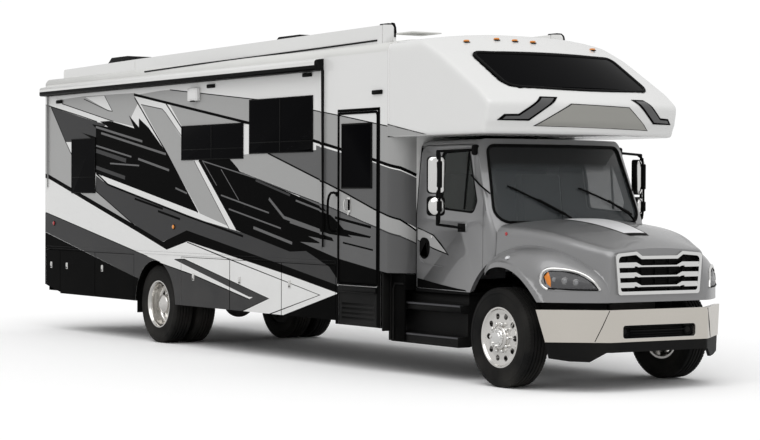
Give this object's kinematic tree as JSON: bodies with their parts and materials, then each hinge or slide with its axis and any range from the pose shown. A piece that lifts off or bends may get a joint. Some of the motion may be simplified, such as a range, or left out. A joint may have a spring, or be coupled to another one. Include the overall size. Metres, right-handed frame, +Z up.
{
  "type": "motorhome",
  "caption": "Cab-over motorhome on a two-axle truck chassis, with steered wheels, a tilting hood and swinging cab, entry and storage doors.",
  "frame": {"origin": "on the floor, below the middle of the vehicle's overall box", "axes": "+X forwards, +Y to the vehicle's left, +Z up"},
  "size_m": [12.04, 2.9298, 3.95],
  "materials": {
    "house_paint": "gloss",
    "cab_paint": "metallic gloss",
    "cap_shell": "gloss",
    "roof_skin": "semi-gloss",
    "chassis_black": "satin",
    "cast_black": "rough",
    "steel": "satin",
    "tank_alloy": "bright",
    "wheel_alloy": "polished",
    "tyre": "matte",
    "chrome": "mirror",
    "black_plastic": "textured",
    "dark_glass": "gloss",
    "clear_glass": "gloss",
    "lamp_lens": "clear gloss",
    "lamp_red": "gloss",
    "dash_plastic": "grained",
    "seat_fabric": "woven"
  },
  "bodies": {
    "coach": {"air_dam": "black_plastic", "awning": "roof_skin", "cab_seats": "seat_fabric", "cab_shell": "cab_paint", "cabover_cap": "cap_shell", "cabover_window": "dark_glass", "dashboard": "dash_plastic", "engine_block": "cast_black", "exhaust": "steel", "frame_rails": "chassis_black", "front_axle": "cast_black", "front_bumper": "chrome", "front_wall": "house_paint", "fuel_tank": "tank_alloy", "house_floor": "chassis_black", "house_windows": "dark_glass", "left_wall": "house_paint", "rear_axle": "cast_black", "rear_bumper": "black_plastic", "rear_lamps": "lamp_red", "rear_wall": "house_paint", "right_wall": "house_paint", "roof": "roof_skin", "roof_fairings": "roof_skin", "roof_units": "black_plastic", "steps": "black_plastic", "storage_boxes": "chassis_black", "windshield": "clear_glass"},
    "front_wheel_right": {"front_tyre_right": "tyre", "front_wheel_right": "wheel_alloy"},
    "front_wheel_left": {"front_tyre_left": "tyre", "front_wheel_left": "wheel_alloy"},
    "rear_wheels_right": {"rear_tyres_right": "tyre", "rear_wheels_right": "wheel_alloy"},
    "rear_wheels_left": {"rear_tyres_left": "tyre", "rear_wheels_left": "wheel_alloy"},
    "knuckle_right": {"knuckle_right": "steel"},
    "knuckle_left": {"knuckle_left": "steel"},
    "tie_rod": {"tie_rod": "steel"},
    "hood": {"hood": "cab_paint", "grille": "chrome", "headlights": "lamp_lens", "headlight_rims": "chrome"},
    "cab_door_right": {"cab_door_right": "cab_paint", "cab_glass_right": "clear_glass"},
    "cab_door_left": {"cab_door_left": "cab_paint", "cab_glass_left": "clear_glass"},
    "entry_door": {"entry_door": "house_paint", "entry_door_glass": "dark_glass"},
    "bay_door_right_1": {"bay_door_right_1": "house_paint"},
    "bay_door_right_2": {"bay_door_right_2": "house_paint"},
    "bay_door_right_3": {"bay_door_right_3": "house_paint"},
    "bay_door_right_4": {"bay_door_right_4": "house_paint"},
    "bay_door_right_5": {"bay_door_right_5": "house_paint"},
    "bay_door_right_6": {"bay_door_right_6": "house_paint"},
    "bay_door_left_1": {"bay_door_left_1": "house_paint"},
    "bay_door_left_2": {"bay_door_left_2": "house_paint"},
    "bay_door_left_3": {"bay_door_left_3": "house_paint"}
  },
  "joints": [
    {"name": "steer_left", "type": "hinge", "parent": "coach", "child": "knuckle_left", "pos_m": [4.93, 0.85, 0.508], "axis": [0, 0, 1], "range_deg": [-36, 36]},
    {"name": "steer_right", "type": "hinge", "parent": "coach", "child": "knuckle_right", "pos_m": [4.93, -0.85, 0.508], "axis": [0, 0, 1], "range_deg": [-36, 36]},
    {"name": "tie_rod_pivot", "type": "hinge", "parent": "knuckle_left", "child": "tie_rod", "pos_m": [4.69, 0.85, 0.4], "axis": [0, 0, 1], "range_deg": [-36, 36]},
    {"name": "front_spin_right", "type": "hinge", "parent": "knuckle_right", "child": "front_wheel_right", "pos_m": [4.93, -1.06, 0.508], "axis": [0, 1, 0], "continuous": true},
    {"name": "front_spin_left", "type": "hinge", "parent": "knuckle_left", "child": "front_wheel_left", "pos_m": [4.93, 1.06, 0.508], "axis": [0, 1, 0], "continuous": true},
    {"name": "rear_spin_right", "type": "hinge", "parent": "coach", "child": "rear_wheels_right", "pos_m": [-2.53, -0.915, 0.508], "axis": [0, 1, 0], "continuous": true},
    {"name": "rear_spin_left", "type": "hinge", "parent": "coach", "child": "rear_wheels_left", "pos_m": [-2.53, 0.915, 0.508], "axis": [0, 1, 0], "continuous": true},
    {"name": "hood_tilt", "type": "hinge", "parent": "coach", "child": "hood", "pos_m": [5.94, 0, 0.865], "axis": [0, 1, 0], "range_deg": [0, 60]},
    {"name": "cab_door_right_swing", "type": "hinge", "parent": "coach", "child": "cab_door_right", "pos_m": [4.432, -1.036, 1.7], "axis": [0, 0, 1], "range_deg": [0, 65]},
    {"name": "cab_door_left_swing", "type": "hinge", "parent": "coach", "child": "cab_door_left", "pos_m": [4.432, 1.036, 1.7], "axis": [0, 0, -1], "range_deg": [0, 65]},
    {"name": "entry_door_swing", "type": "hinge", "parent": "coach", "child": "entry_door", "pos_m": [2.797, -1.29, 1.9], "axis": [0, 0, 1], "range_deg": [0, 95]},
    {"name": "bay_door_right_1_swing", "type": "hinge", "parent": "coach", "child": "bay_door_right_1", "pos_m": [-5.484, -1.275, 0.84], "axis": [0, 0, 1], "range_deg": [0, 90]},
    {"name": "bay_door_right_2_swing", "type": "hinge", "parent": "coach", "child": "bay_door_right_2", "pos_m": [-4.334, -1.275, 0.84], "axis": [0, 0, 1], "range_deg": [0, 90]},
    {"name": "bay_door_right_3_swing", "type": "hinge", "parent": "coach", "child": "bay_door_right_3", "pos_m": [-3.127, -1.275, 0.84], "axis": [0, 0, 1], "range_deg": [0, 90]},
    {"name": "bay_door_right_4_swing", "type": "hinge", "parent": "coach", "child": "bay_door_right_4", "pos_m": [-0.507, -1.275, 0.84], "axis": [0, 0, 1], "range_deg": [0, 90]},
    {"name": "bay_door_right_5_swing", "type": "hinge", "parent": "coach", "child": "bay_door_right_5", "pos_m": [0.743, -1.275, 0.84], "axis": [0, 0, 1], "range_deg": [0, 90]},
    {"name": "bay_door_right_6_swing", "type": "hinge", "parent": "coach", "child": "bay_door_right_6", "pos_m": [1.946, -1.275, 0.84], "axis": [0, 0, 1], "range_deg": [0, 90]},
    {"name": "bay_door_left_1_swing", "type": "hinge", "parent": "coach", "child": "bay_door_left_1", "pos_m": [-3.127, 1.275, 0.84], "axis": [0, 0, -1], "range_deg": [0, 90]},
    {"name": "bay_door_left_2_swing", "type": "hinge", "parent": "coach", "child": "bay_door_left_2", "pos_m": [-0.507, 1.275, 0.84], "axis": [0, 0, -1], "range_deg": [0, 90]},
    {"name": "bay_door_left_3_swing", "type": "hinge", "parent": "coach", "child": "bay_door_left_3", "pos_m": [1.946, 1.275, 0.84], "axis": [0, 0, -1], "range_deg": [0, 90]}
  ],
  "couplings": [
    {"joint": "steer_right", "follows": "steer_left", "ratio": 1},
    {"joint": "tie_rod_pivot", "follows": "steer_left", "ratio": -1}
  ]
}
